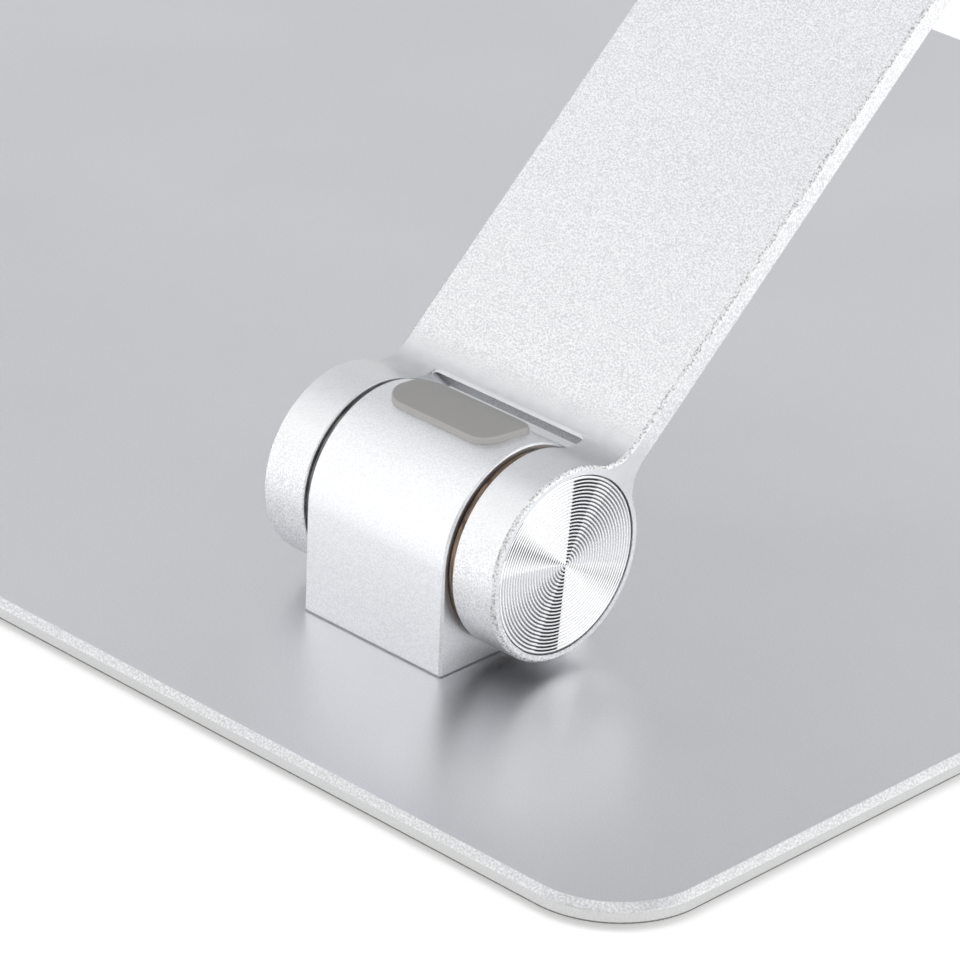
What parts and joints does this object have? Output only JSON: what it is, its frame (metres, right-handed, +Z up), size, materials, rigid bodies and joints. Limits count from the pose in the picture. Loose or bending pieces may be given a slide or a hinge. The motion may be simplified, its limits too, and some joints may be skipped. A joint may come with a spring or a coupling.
{
  "type": "tablet stand",
  "caption": "Fold-flat aluminium tablet stand: rounded base plate, forked arms on friction hinges with spun caps, and a tilting lipped tray.",
  "frame": {"origin": "centre of the base plate's footprint, on the surface the feet stand on", "axes": "+Z up, -Y towards the user, +X to the user's right"},
  "size_m": [0.288, 0.246, 0.2348],
  "materials": {
    "anodised_plate": "silver anodised, fine bead blast, satin",
    "blasted_aluminium": "bright silver bead-blasted aluminium",
    "spun_cap": "concentric turned grooves, bright cut",
    "silicone": "matt warm grey silicone",
    "steel": "plain zinc plated steel",
    "bronze": "dull bearing bronze"
  },
  "bodies": {
    "base": {"base_plate": "anodised_plate", "base_feet": "silicone", "lower_block_left": "blasted_aluminium", "lower_block_right": "blasted_aluminium", "lower_block_pads": "silicone", "lower_block_screws": "steel", "lower_bushes": "bronze"},
    "arms": {"arm_left": "blasted_aluminium", "arm_right": "blasted_aluminium", "lower_pins": "steel", "lower_nuts": "steel", "lower_disc_springs": "steel", "lower_bronze_washers": "bronze", "lower_steel_washers": "steel", "lower_outer_caps": "spun_cap", "lower_inner_caps": "spun_cap", "upper_pins": "steel", "upper_nuts": "steel", "upper_disc_springs": "steel", "upper_bronze_washers": "bronze", "upper_steel_washers": "steel", "upper_outer_caps": "spun_cap", "upper_inner_caps": "spun_cap"},
    "tray": {"tray_plate": "anodised_plate", "tray_pads": "silicone", "lip_pads": "silicone", "upper_block_left": "blasted_aluminium", "upper_block_right": "blasted_aluminium", "upper_block_pads": "silicone", "upper_block_screws": "steel", "upper_bushes": "bronze"}
  },
  "joints": [
    {"name": "lower_hinge", "type": "hinge", "parent": "base", "child": "arms", "pos_m": [0, 0.081, 0.01855], "axis": [-1, 0, 0], "range_deg": [-41.6, 43]},
    {"name": "upper_hinge", "type": "hinge", "parent": "arms", "child": "tray", "pos_m": [0, -0.06557, 0.14868], "axis": [1, 0, 0], "range_deg": [-61.6, 33.4]}
  ]
}
